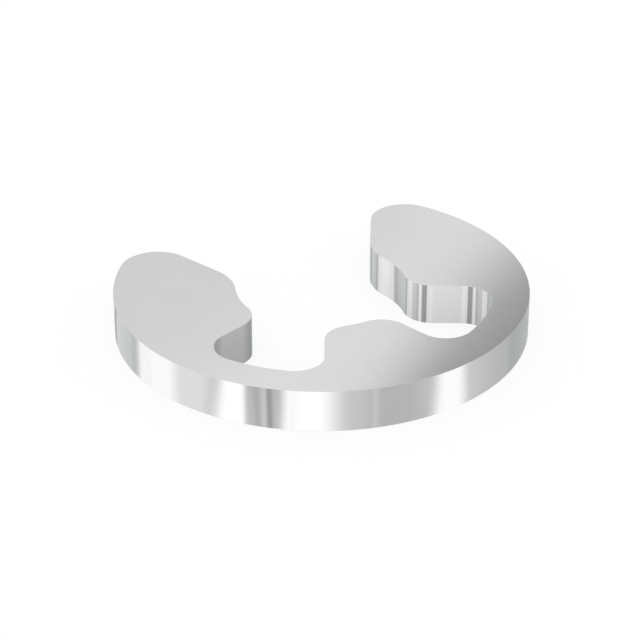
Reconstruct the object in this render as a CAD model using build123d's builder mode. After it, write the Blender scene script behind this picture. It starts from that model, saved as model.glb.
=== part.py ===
"""Circlip: a flat stamped E-shaped retaining ring that is pushed sideways into a groove in a shaft.

One piece. Millimetres, +Z up. The origin is on the axis of the shaft, in the bottom face.
The mouth opens towards +Y and the ring is the same on both sides of the YZ plane.
"""
import os
from math import cos, hypot, radians, sin, sqrt

from build123d import *

# Main sizes of the ring
outer_diameter = 7.10
thickness = 0.73
seat_diameter = 2.94            # free diameter of the three seats that grip the groove
snap = 0.24                     # the mouth is this much narrower than the seats, so it snaps on

# Arms: the mouth widens outwards, and each arm ends in one round
mouth_lean = 25.4               # degrees from +Y
entry_radius = 0.99             # round where the mouth turns into the seat
tip_radius = 0.63

# Recesses between the arms and the middle lobe give the spring its length
recess_diameter = 5.875
arm_flank_angle = 24.0          # degrees below the X axis
lobe_flank_angle = 21.8         # degrees to each side of -Y
corner_radius = 0.505           # rounds where a flank meets a seat
recess_fillet = 0.49            # rounds where a flank meets the outer wall of a recess

opening_width = seat_diameter - snap
outer_radius = outer_diameter / 2
seat_radius = seat_diameter / 2
recess_radius = recess_diameter / 2


def mouth_half_width(height):
    """Half width of the mouth at a height above the axis; its side is tangent to the entry round."""
    lean = radians(mouth_lean)
    centre_x = opening_width / 2 + entry_radius
    centre_y = sqrt((seat_radius + entry_radius) ** 2 - centre_x ** 2)
    offset = centre_x * cos(lean) - centre_y * sin(lean) - entry_radius
    return (offset + height * sin(lean)) / cos(lean)


def cut_mouth():
    """Wedge between the arms, from the middle of the ring to beyond its rim."""
    top = outer_diameter
    Polygon(
        (-mouth_half_width(0), 0),
        (mouth_half_width(0), 0),
        (mouth_half_width(top), top),
        (-mouth_half_width(top), top),
        align=None,
        mode=Mode.SUBTRACT,
    )


def cut_recess(start_angle, arc_size):
    """Sector with radial flanks, out to the wall of the recess."""
    with BuildLine() as sector:
        first_flank = PolarLine((0, 0), recess_radius, start_angle)
        wall = CenterArc((0, 0), recess_radius, start_angle, arc_size)
        Line(wall @ 1, first_flank @ 0)
    make_face(sector.edges(), mode=Mode.SUBTRACT)


def vertices_at(sketch, radius):
    """Corners of the outline that lie at a radius from the axis, lowest first."""
    found = sketch.vertices().filter_by(lambda v: abs(hypot(v.X, v.Y) - radius) < 1e-4)
    return found.sort_by(Axis.Y)


with BuildPart() as circlip:
    with BuildSketch(Plane.XY) as outline:
        Circle(outer_radius)
        Circle(seat_radius, mode=Mode.SUBTRACT)
        cut_mouth()
        recess_arc = 90 - arm_flank_angle - lobe_flank_angle
        cut_recess(-arm_flank_angle, -recess_arc)
        cut_recess(180 + arm_flank_angle, recess_arc)

        fillet(vertices_at(outline, outer_radius), tip_radius)
        fillet(vertices_at(outline, recess_radius), recess_fillet)
        # The entry rounds come first: the four lowest corners at the seats are then the flank corners
        fillet(vertices_at(outline, seat_radius)[-2:], entry_radius)
        fillet(vertices_at(outline, seat_radius)[:4], corner_radius)
    extrude(amount=thickness)

circlip.part.label = "circlip"

os.makedirs("parts", exist_ok=True)
export_step(circlip.part, "parts/circlip.step")
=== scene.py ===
"""Looks of the circlip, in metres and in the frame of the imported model.

A finely faceted ring with softened rims stands for the plain solid: satin rolled faces and bright
sheared edges, on a white floor, under a studio sky that the metal mirrors.
"""
from math import acos, asin, ceil, cos, pi, radians, sin

import bpy
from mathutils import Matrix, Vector


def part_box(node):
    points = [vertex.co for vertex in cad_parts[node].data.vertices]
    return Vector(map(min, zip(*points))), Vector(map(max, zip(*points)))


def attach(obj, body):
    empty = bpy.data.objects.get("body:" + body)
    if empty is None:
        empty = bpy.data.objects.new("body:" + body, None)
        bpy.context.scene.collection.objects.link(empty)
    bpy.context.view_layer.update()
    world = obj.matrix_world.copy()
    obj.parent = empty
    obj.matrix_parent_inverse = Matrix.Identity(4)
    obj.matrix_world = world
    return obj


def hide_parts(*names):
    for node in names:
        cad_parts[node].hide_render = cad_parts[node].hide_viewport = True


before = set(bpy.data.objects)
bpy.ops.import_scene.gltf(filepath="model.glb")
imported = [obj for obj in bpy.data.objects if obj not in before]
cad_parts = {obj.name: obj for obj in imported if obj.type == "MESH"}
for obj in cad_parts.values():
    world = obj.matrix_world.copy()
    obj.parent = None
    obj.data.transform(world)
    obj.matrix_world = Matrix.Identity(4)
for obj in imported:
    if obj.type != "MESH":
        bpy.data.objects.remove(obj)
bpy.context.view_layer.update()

MM = 0.001
WHITE = (1.0, 1.0, 1.0, 1.0)

# Outline, with the same sizes as the solid's
ring_low, ring_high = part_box("circlip")
outer_radius = (ring_high[0] - ring_low[0]) / 2
thickness = ring_high[2] - ring_low[2]
seat_radius = 1.47 * MM
opening_width = 2.70 * MM
mouth_lean = radians(25.4)
entry_radius = 0.99 * MM
tip_radius = 0.63 * MM
recess_radius = 2.9375 * MM
arm_flank_angle = radians(24.0)
lobe_flank_angle = radians(21.8)
corner_radius = 0.505 * MM
recess_fillet = 0.49 * MM

# Rims, softened by tumbling, and how finely arcs are divided
rim_radius = 0.003 * MM
rim_steps = 3
chord_error = 0.0002 * MM

# Order of the ring's mesh and of its material slots
flat_faces = 2                          # the bottom and the top face come before the wall's
FACE, EDGE, BORE, RIM = range(4)

# Steels: greys, and the grain of the upright walls in lines per millimetre along X, Y and Z and in height
steel_grey = 0.69
# The bore's darker grey is painted shade, for the recesses that its walls face into
bore_shaded_grey = 0.525
wall_grain = (18, 18, 0.5)
wall_relief = 1e-8

# Uneven finish of every steel: its tint and roughness vary by these shares, its faint cloudiness has
# this many patches per millimetre, and the grain's noise mostly keeps within this range
tint_spread = 0.03
polish_spread = 0.07
cloud_scale = 1.3
cloud_detail = 4.0
grain_detail = 3.0
noise_range = (0.3, 0.7)

# Painted shade on the walls of the bore: darker deep in the recesses and low down. Places are in millimetres
# along Y, and the shares are what the wall keeps of its brightness there.
deep_y = -1.3
shallow_y = 0.7
deep_share = 0.91
shallow_share = 1.07
deep_foot_share = 0.905
shallow_foot_share = 0.975
top_share = 1.08

# Camera, at the photograph's viewing angle
camera_heading = radians(23.24)         # clockwise from +Y, seen from above
camera_elevation = radians(29.13)
camera_distance = 40.34 * MM
camera_aim = Vector((0.011, 0.088, 0)) * MM
camera_lens = 131.4
camera_sensor = 36.0
camera_near = 1 * MM
camera_far = 2.0

# Floor, just below the ring. It and the sky behind it are white where they are seen. The glow is the
# share of the floor's white that is free of the ring's shadow.
floor_half_width = 400 * MM
floor_gap = 0.004 * MM
white_level = 1.0
floor_glow = 0.85

# Studio below the horizon, which the upright walls mirror. This is its level between the strips, and
# steeply below an even ground takes over, between these two heights of the direction (its Z).
below_level = 0.66
ground_level = 0.62
ground_top = (-0.97, -0.90)

# Lights, fills and dark cards of the studio: upright strips, each drawn over the ones before it. Each
# has its centre to the right of the view, its width and its soft edge in degrees, and its level.
STRIPS = (
    ("left fill", -75, 150, 14, 0.79),
    ("left fill middle", -75, 90, 10, 0.79),
    ("left panel", -104.5, 30, 8, 1.04),
    ("left gap", -116, 4, 8, 0.84),
    ("right fill", 27, 55, 13, 0.56),
    ("right edge fill", 95, 24, 46, 0.90),
    ("right rear fill", 118, 6, 24, 0.79),
    ("right rear glow", 162, 14, 14, 0.80),
    ("right rear gleam", 150.5, 2.5, 5, 0.85),
    ("rear glow", 181, 20.6, 18, 1.36),
    ("rear light", -167.6, 27.2, 4, 1.46),
    ("rear left light", -133.6, 15.6, 8, 1.47),
    ("rear left light front", -127.5, 11, 8, 1.47),
    ("rear card", -144.8, 14.4, 4, 0.74),
    ("rear card back", -151.8, 15.6, 7, 0.74),
    ("rear card fold", -144.5, 3, 3, 0.60),
    ("rear card gleam", -148.7, 1, 3, 1.00),
    ("rear card line", -151.8, 2.6, 3, 0.38),
    ("left light", -80, 24, 10, 1.38),
    ("left light front", -72, 24, 10, 1.38),
    ("left light fold", -67, 11, 5, 1.29),
    ("rear light fold", -164.5, 3, 5, 1.34),
    ("front left card", -53, 6, 7, 0.70),
    ("front card", -17.5, 6.5, 5, 0.42),
    ("front light", -2, 14, 10, 0.75),
    ("right light", 107.6, 13.8, 11, 1.42),
    ("right light front", 102.1, 13.6, 11, 1.42),
)

# Strips that stand askew. Between a low and a high direction, in degrees of rise, a bend turns the
# strip from the first value to the second, in degrees. The bends of a strip add up.
BENDS = {
    "left gap": ((-31.4, -30.4, 2.0, -3.4), (-30.4, -29.2, 0.0, 4.6), (-29.1, -28.3, 0.0, -3.4)),
    "rear left light front": ((-31.4, -30.6, 2.8, -3.1), (-30.5, -29.1, 0.0, 2.1), (-29.1, -28.3, 0.0, -2.6)),
    "rear card": ((-30.6, -28.4, 0.0, 0.9),),
    "rear card back": ((-31.8, -31.2, 1.5, -0.3), (-31.1, -30.8, 0.0, -0.5), (-30.6, -29.3, 0.0, 2.7)),
    "rear card fold": ((-31.7, -30.6, -0.8, 1.4), (-30.5, -29.2, 0.0, -1.4)),
    "rear card line": ((-31.7, -30.6, -0.2, 0.7), (-30.5, -29.2, 0.0, -0.5)),
    "left light": ((-29.6, -28.5, 0.0, -1.5),),
    "left light front": ((-29.6, -28.5, 0.0, -6.0),),
    "left light fold": ((-29.2, -27.8, 0.0, -3.8),),
    "front left card": ((-29.6, -28.5, 0.0, -4.5),),
    "front card": ((-29.1, -28.1, 0.0, -8.0),),
    "right light": ((-31.3, -30.5, 0.8, -1.8),),
    "right light front": ((-30.9, -30.3, -1.2, 1.2),),
}

# Strips that fade. Between a low and a high direction, in degrees of rise, the strip's level is scaled
# from the first value to the second.
FADES = {
    "left fill middle": (-29.0, -28.6, 1.0, 1.13),
    "left gap": (-31.4, -30.4, 1.04, 0.95),
    "rear glow": (-30.5, -29.0, 1.0, 0.95),
    "rear card": (-31.9, -30.5, 1.04, 0.92),
    "rear card back": (-31.9, -30.5, 1.04, 0.92),
    "rear card fold": (-31.3, -30.7, 1.0, 0.90),
    "rear card gleam": (-29.0, -28.4, 1.0, 0.88),
}

# Light below the horizon is slightly cool ahead of the camera. Width and soft edge are in degrees.
cool_tint = (0.965, 1.0, 0.99, 1.0)
cool_width = 110
cool_edge = 20

# Sky above the horizon: it blends in over these heights of the direction (its Z), and its level climbs
# in two steps. Each step is given by its low and high rise in degrees and its first and last value.
horizon_blend = (-0.1, 0.0)
low_sky = (8, 24, 0.90, 1.06)
high_sky_gain = (34, 55, 0.0, 0.10)

# Round flags in the sky: a large one shades the right of the faces in the photograph, a low one dims
# their left, and soft ones all round give the faces a gentle gradient from other sides. Each has its
# centre to the right of the view, its rise, its width and its soft edge in degrees, and its level.
FLAGS = (
    ("right flag", 24.15, 40, 40, 1.8, 0.38),
    ("right flag heart", 24.15, 40, 18, 10, 0.90),
    ("left flag", -9.5, 16.5, 30, 3.2, 0.88),
    ("far right flag", 79, 30, 24, 12, 0.80),
    ("right rear flag", 124, 30, 24, 12, 0.80),
    ("rear right flag", 169, 30, 24, 12, 0.80),
    ("rear left flag", -146, 30, 24, 12, 0.80),
    ("left rear flag", -101, 30, 24, 12, 0.80),
    ("far left flag", -56, 30, 24, 12, 0.80),
    ("overhead flag", 60, 76, 16, 18, 0.98),
)


def polar(radius, angle):
    return Vector((radius * cos(angle), radius * sin(angle)))


def arc(centre, radius, start, end, convex=True):
    """Points of an arc, each with the direction that faces out of the metal there."""
    steps = ceil(abs(end - start) / (2 * acos(1 - chord_error / radius)))
    side = 1 if convex else -1
    turns = [start + (end - start) * i / steps for i in range(steps + 1)]
    return [(centre + polar(radius, turn), side * polar(1, turn)) for turn in turns]


def right_half():
    """Outline from the bottom of the outer circle, round the right arm and recess, to the middle seat."""
    axis = Vector((0, 0))
    bottom = -pi / 2
    entry_angle = acos((opening_width / 2 + entry_radius) / (seat_radius + entry_radius))
    entry_centre = polar(seat_radius + entry_radius, entry_angle)
    mouth_facing = pi - mouth_lean
    mouth_offset = (seat_radius + entry_radius) * cos(entry_angle + mouth_lean) - entry_radius
    tip_reach = outer_radius - tip_radius
    tip_angle = acos((mouth_offset + tip_radius) / tip_reach) - mouth_lean
    corner_reach = seat_radius + corner_radius
    corner_turn = asin(corner_radius / corner_reach)
    fillet_reach = recess_radius - recess_fillet
    fillet_turn = asin(recess_fillet / fillet_reach)
    arm_flank = -arm_flank_angle
    arm_corner = arm_flank + corner_turn
    arm_fillet = arm_flank - fillet_turn
    lobe_flank = bottom + lobe_flank_angle
    lobe_corner = lobe_flank - corner_turn
    lobe_fillet = lobe_flank + fillet_turn
    return (
        arc(axis, outer_radius, bottom, tip_angle)
        + arc(polar(tip_reach, tip_angle), tip_radius, tip_angle, mouth_facing)
        + arc(entry_centre, entry_radius, mouth_facing, entry_angle + pi)
        + arc(axis, seat_radius, entry_angle, arm_corner, convex=False)
        + arc(polar(corner_reach, arm_corner), corner_radius, arm_corner + pi, arm_flank + 3 * pi / 2)
        + arc(polar(fillet_reach, arm_fillet), recess_fillet, arm_flank + pi / 2, arm_fillet, convex=False)
        + arc(axis, recess_radius, arm_fillet, lobe_fillet, convex=False)
        + arc(polar(fillet_reach, lobe_fillet), recess_fillet, lobe_fillet, lobe_flank - pi / 2, convex=False)
        + arc(polar(corner_reach, lobe_corner), corner_radius, lobe_flank + pi / 2, lobe_corner + pi)
        + arc(axis, seat_radius, lobe_corner, bottom, convex=False)
    )


def full_outline():
    """Both halves as one closed loop, counter-clockwise, without the doubled points where arcs meet."""
    right = right_half()
    left = [(Vector((-p.x, p.y)), Vector((-n.x, n.y))) for p, n in reversed(right)]
    loop = []
    for point, facing in right + left:
        if not loop or (point - loop[-1][0]).length > chord_error:
            loop.append((point, facing))
    if (loop[0][0] - loop[-1][0]).length <= chord_error:
        loop.pop()
    return loop


def wall_profile():
    """Rows of the wall from the bottom face to the top face: inset, height and tilt of the surface."""
    rows = []
    for i in range(rim_steps + 1):
        turn = pi / 2 * i / rim_steps
        rows.append((rim_radius * (1 - sin(turn)), rim_radius * (1 - cos(turn)), turn - pi / 2))
    for i in range(rim_steps + 1):
        turn = pi / 2 * i / rim_steps
        rows.append((rim_radius * (1 - cos(turn)), thickness - rim_radius * (1 - sin(turn)), turn))
    return rows


def ring_mesh(loop, rows):
    """Bottom face, top face and wall, with exact surface directions, so that it mirrors without facets."""
    count = len(loop)
    points = []
    directions = []
    for inset, height, tilt in rows:
        for point, facing in loop:
            inner = point - facing * inset
            points.append((inner.x, inner.y, height))
            directions.append((facing.x * cos(tilt), facing.y * cos(tilt), sin(tilt)))
    faces = [tuple(reversed(range(count)))]
    faces.append(tuple(range((len(rows) - 1) * count, len(rows) * count)))
    for row in range(len(rows) - 1):
        low = row * count
        high = low + count
        for i in range(count):
            after = (i + 1) % count
            faces.append((low + i, low + after, high + after, high + i))
    mesh = bpy.data.meshes.new("ring")
    mesh.from_pydata(points, [], faces)
    mesh.shade_smooth()
    mesh.normals_split_custom_set_from_vertices(directions)
    return mesh


def slot_of(face, count):
    """Material slot of a face of the ring, whose wall rows have count faces each."""
    if face.index < flat_faces:
        return FACE
    if (face.index - flat_faces) // count != rim_steps:
        return RIM
    if Vector(face.center[:2]).length > outer_radius - rim_radius:
        return EDGE
    return BORE


class Nodes:
    """Short calls to add nodes to one tree and link them."""

    def __init__(self, tree):
        self.tree = tree
        tree.nodes.clear()

    def add(self, kind, inputs=None, **settings):
        node = self.tree.nodes.new(kind)
        for name, value in settings.items():
            setattr(node, name, value)
        for name, value in (inputs or {}).items():
            if isinstance(value, bpy.types.NodeSocket):
                self.tree.links.new(value, node.inputs[name])
            else:
                node.inputs[name].default_value = value
        return node

    def math(self, operation, *values):
        return self.add("ShaderNodeMath", dict(enumerate(values)), operation=operation).outputs[0]

    def scaled(self, vector, scale):
        return self.add("ShaderNodeMapping", {"Vector": vector, "Scale": scale}).outputs[0]

    def noise(self, place, scale, detail):
        inputs = {"Vector": place, "Scale": scale, "Detail": detail}
        return self.add("ShaderNodeTexNoise", inputs).outputs["Fac"]

    def mix(self, share, first, second, kind="FLOAT", label=""):
        """From the first value to the second by a share: FLOAT for levels, and RGBA for colours."""
        node = self.add("ShaderNodeMix", {"Factor": share, "A": first, "B": second}, data_type=kind)
        node.label = label
        return node.outputs["Result"]

    def ramp(self, value, low, high, first, last, smooth=False):
        """First at low and last at high, in between evenly or smoothly, and no further beyond them."""
        return self.add(
            "ShaderNodeMapRange",
            {"Value": value, "From Min": low, "From Max": high, "To Min": first, "To Max": last},
            interpolation_type="SMOOTHSTEP" if smooth else "LINEAR",
        ).outputs[0]


def new_material(name):
    material = bpy.data.materials.new(name)
    material.use_nodes = True
    return material, Nodes(material.node_tree)


def grey(level):
    return (level, level, level, 1.0)


def bore_painted_shade(nodes, in_mm):
    """Painted shade: the share of its brightness that a wall of the bore keeps, least low down and deep in
    the recesses.
    """
    place = nodes.add("ShaderNodeSeparateXYZ", {"Vector": in_mm}).outputs
    depth = nodes.ramp(place["Y"], deep_y, shallow_y, deep_share, shallow_share)
    foot = nodes.ramp(place["Y"], deep_y, shallow_y, deep_foot_share, shallow_foot_share)
    height = nodes.ramp(place["Z"], 0.0, thickness / MM, foot, top_share)
    return nodes.math("MULTIPLY", depth, height)


def steel(name, tint, roughness, grain, relief, streaks=0.0, painted_shade=False):
    """Steel of a grey tint, with a drawn-out grain, a faint cloudiness and uneven polish, and painted shade
    if asked.

    The grain is in lines per millimetre along each axis, the relief is its height in metres, and
    streaks is its share, against the cloudiness, in the uneven tint.
    """
    material, nodes = new_material(name)
    place = nodes.add("ShaderNodeTexCoord").outputs["Object"]
    in_mm = nodes.scaled(place, (1 / MM, 1 / MM, 1 / MM))
    lines = nodes.noise(nodes.scaled(in_mm, grain), 1.0, grain_detail)
    clouds = nodes.noise(in_mm, cloud_scale, cloud_detail)

    darkest = grey((1 - tint_spread) * tint)
    palest = grey((1 + tint_spread) * tint)
    colour = nodes.mix(nodes.mix(streaks, clouds, lines), darkest, palest, "RGBA")
    # Painted shade on the bore: darker low down and deep in the recesses
    if painted_shade:
        share = bore_painted_shade(nodes, in_mm)
        colour = nodes.add("ShaderNodeVectorMath", {0: colour, "Scale": share}, operation="SCALE").outputs[0]
    smoothest = (1 - polish_spread) * roughness
    roughest = (1 + polish_spread) * roughness
    polish = nodes.ramp(lines, *noise_range, smoothest, roughest)
    bump = nodes.add("ShaderNodeBump", {"Height": lines, "Strength": 1.0, "Distance": relief})
    surface = nodes.add(
        "ShaderNodeBsdfPrincipled",
        {"Base Color": colour, "Metallic": 1.0, "Roughness": polish, "Normal": bump.outputs[0]},
    )
    nodes.add("ShaderNodeOutputMaterial", {"Surface": surface.outputs[0]})
    return material


def face_steel():
    """Satin rolled faces, with a fine grain along Y."""
    return steel("face_steel", steel_grey, roughness=0.10, grain=(14, 2, 14), relief=4e-9)


def edge_steel():
    """Bright sheared outer wall, with an upright grain."""
    return steel("edge_steel", steel_grey, roughness=0.08, grain=wall_grain, relief=wall_relief, streaks=0.6)


def bore_steel():
    """Sheared walls of the bore, with painted shade: a darker grey, and darker still low down and deep in the
    recesses.
    """
    return steel(
        "bore_steel",
        bore_shaded_grey,
        roughness=0.08,
        grain=wall_grain,
        relief=wall_relief,
        streaks=0.4,
        painted_shade=True,
    )


def rim_steel():
    """Softened rims, less smooth than the walls."""
    return steel("rim_steel", steel_grey, roughness=0.16, grain=(12, 12, 12), relief=wall_relief)


def build_ring():
    loop = full_outline()
    mesh = ring_mesh(loop, wall_profile())
    ring = bpy.data.objects.new("ring", mesh)
    bpy.context.collection.objects.link(ring)
    for material in (face_steel(), edge_steel(), bore_steel(), rim_steel()):
        mesh.materials.append(material)
    for face in mesh.polygons:
        face.material_index = slot_of(face, len(loop))
    # The walls in the photograph mirror the studio, and not each other
    ring.visible_glossy = False
    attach(ring, "root")
    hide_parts("circlip")


def floor_white():
    """White by light, which keeps the ring's shadow, and by its own glow where it is seen."""
    material, nodes = new_material("floor_white")
    surface = nodes.add("ShaderNodeBsdfDiffuse", {"Color": WHITE})
    glow = nodes.add("ShaderNodeEmission", {"Color": WHITE, "Strength": white_level})
    path = nodes.add("ShaderNodeLightPath").outputs
    seen = nodes.math("MAXIMUM", path["Is Camera Ray"], path["Is Glossy Ray"])
    seen = nodes.math("MAXIMUM", seen, path["Is Transmission Ray"])
    share = nodes.math("MULTIPLY", seen, floor_glow)
    blend = nodes.add("ShaderNodeMixShader", {0: share, 1: surface.outputs[0], 2: glow.outputs[0]})
    nodes.add("ShaderNodeOutputMaterial", {"Surface": blend.outputs[0]})
    return material


def build_floor():
    mesh = bpy.data.meshes.new("floor")
    sides = ((-1, -1), (1, -1), (1, 1), (-1, 1))
    corners = [(x * floor_half_width, y * floor_half_width, -floor_gap) for x, y in sides]
    mesh.from_pydata(corners, [], [(0, 1, 2, 3)])
    mesh.materials.append(floor_white())
    floor = bpy.data.objects.new("floor", mesh)
    bpy.context.collection.objects.link(floor)
    # The walls in the photograph mirror the studio down to their feet, and not the floor
    floor.visible_glossy = False


def window(nodes, away, width, edge):
    """1 within a width about a centre, falling smoothly to 0 over a soft edge; both are in degrees."""
    return nodes.ramp(away, radians(width + edge) / 2, radians(width - edge) / 2, 0.0, 1.0, smooth=True)


def by_rise(nodes, rise, low, high, first, last):
    """First at a low rise and last at a high one, with both rises in degrees."""
    return nodes.ramp(rise, radians(low), radians(high), first, last)


def studio_below(nodes, heading, rise):
    """Level of the studio below the horizon: strips, some of them bent or fading."""
    below = below_level
    for name, centre, width, edge, level in STRIPS:
        aside = nodes.math("SUBTRACT", heading, camera_heading + radians(centre))
        for bend in BENDS.get(name, ()):
            aside = nodes.math("SUBTRACT", aside, nodes.ramp(rise, *map(radians, bend)))
        if name in FADES:
            level = nodes.math("MULTIPLY", level, by_rise(nodes, rise, *FADES[name]))
        away = nodes.math("ABSOLUTE", nodes.math("WRAP", aside, pi, -pi))
        below = nodes.mix(window(nodes, away, width, edge), below, level, label=name)
    return below


def studio_above(nodes, direction, rise):
    """Level of the studio above the horizon: a graded sky with round flags."""
    above = nodes.math("ADD", by_rise(nodes, rise, *low_sky), by_rise(nodes, rise, *high_sky_gain))
    for name, centre, height, width, edge, level in FLAGS:
        turn = camera_heading + radians(centre)
        tilt = radians(height)
        towards = (sin(turn) * cos(tilt), cos(turn) * cos(tilt), sin(tilt))
        along = nodes.add("ShaderNodeVectorMath", {0: direction, 1: towards}, operation="DOT_PRODUCT")
        away = nodes.math("ARCCOSINE", along.outputs["Value"])
        above = nodes.mix(window(nodes, away, width, edge), above, level, label=name)
    return above


def cool_light(nodes, heading, low):
    """Colour of the light: white, and slightly cool ahead of the camera by the share of what is low."""
    ahead = nodes.math("SUBTRACT", heading, camera_heading)
    away = nodes.math("ABSOLUTE", nodes.math("WRAP", ahead, pi, -pi))
    share = nodes.math("MULTIPLY", window(nodes, away, cool_width, cool_edge), low)
    return nodes.mix(share, WHITE, cool_tint, "RGBA")


def build_sky():
    world = bpy.data.worlds.new("studio")
    bpy.context.scene.world = world
    world.use_nodes = True
    nodes = Nodes(world.node_tree)
    direction = nodes.add("ShaderNodeTexCoord").outputs["Generated"]
    split = nodes.add("ShaderNodeSeparateXYZ", {"Vector": direction}).outputs
    heading = nodes.math("ARCTAN2", split["X"], split["Y"])
    rise = nodes.math("ARCSINE", split["Z"])

    off_ground = nodes.ramp(split["Z"], *ground_top, 0.0, 1.0, smooth=True)
    below = nodes.mix(off_ground, ground_level, studio_below(nodes, heading, rise))
    high = nodes.ramp(split["Z"], *horizon_blend, 0.0, 1.0, smooth=True)
    studio = nodes.mix(high, below, studio_above(nodes, direction, rise))
    colour = cool_light(nodes, heading, nodes.math("SUBTRACT", 1.0, high))

    # The metal mirrors the studio, and the camera sees plain white behind the floor
    seen = nodes.add("ShaderNodeLightPath").outputs["Is Camera Ray"]
    strength = nodes.mix(seen, studio, white_level)
    light = nodes.add("ShaderNodeBackground", {"Color": colour, "Strength": strength})
    nodes.add("ShaderNodeOutputWorld", {"Surface": light.outputs[0]})


def build_camera():
    back = Vector((
        -sin(camera_heading) * cos(camera_elevation),
        -cos(camera_heading) * cos(camera_elevation),
        sin(camera_elevation),
    ))
    data = bpy.data.cameras.new("camera")
    data.lens = camera_lens
    data.sensor_width = camera_sensor
    data.clip_start = camera_near
    data.clip_end = camera_far
    camera = bpy.data.objects.new("camera", data)
    bpy.context.collection.objects.link(camera)
    camera.location = camera_aim + back * camera_distance
    camera.rotation_euler = back.to_track_quat("Z", "Y").to_euler()
    bpy.context.scene.camera = camera


build_ring()
build_floor()
build_sky()
build_camera()
bpy.context.scene.view_settings.view_transform = "Standard"
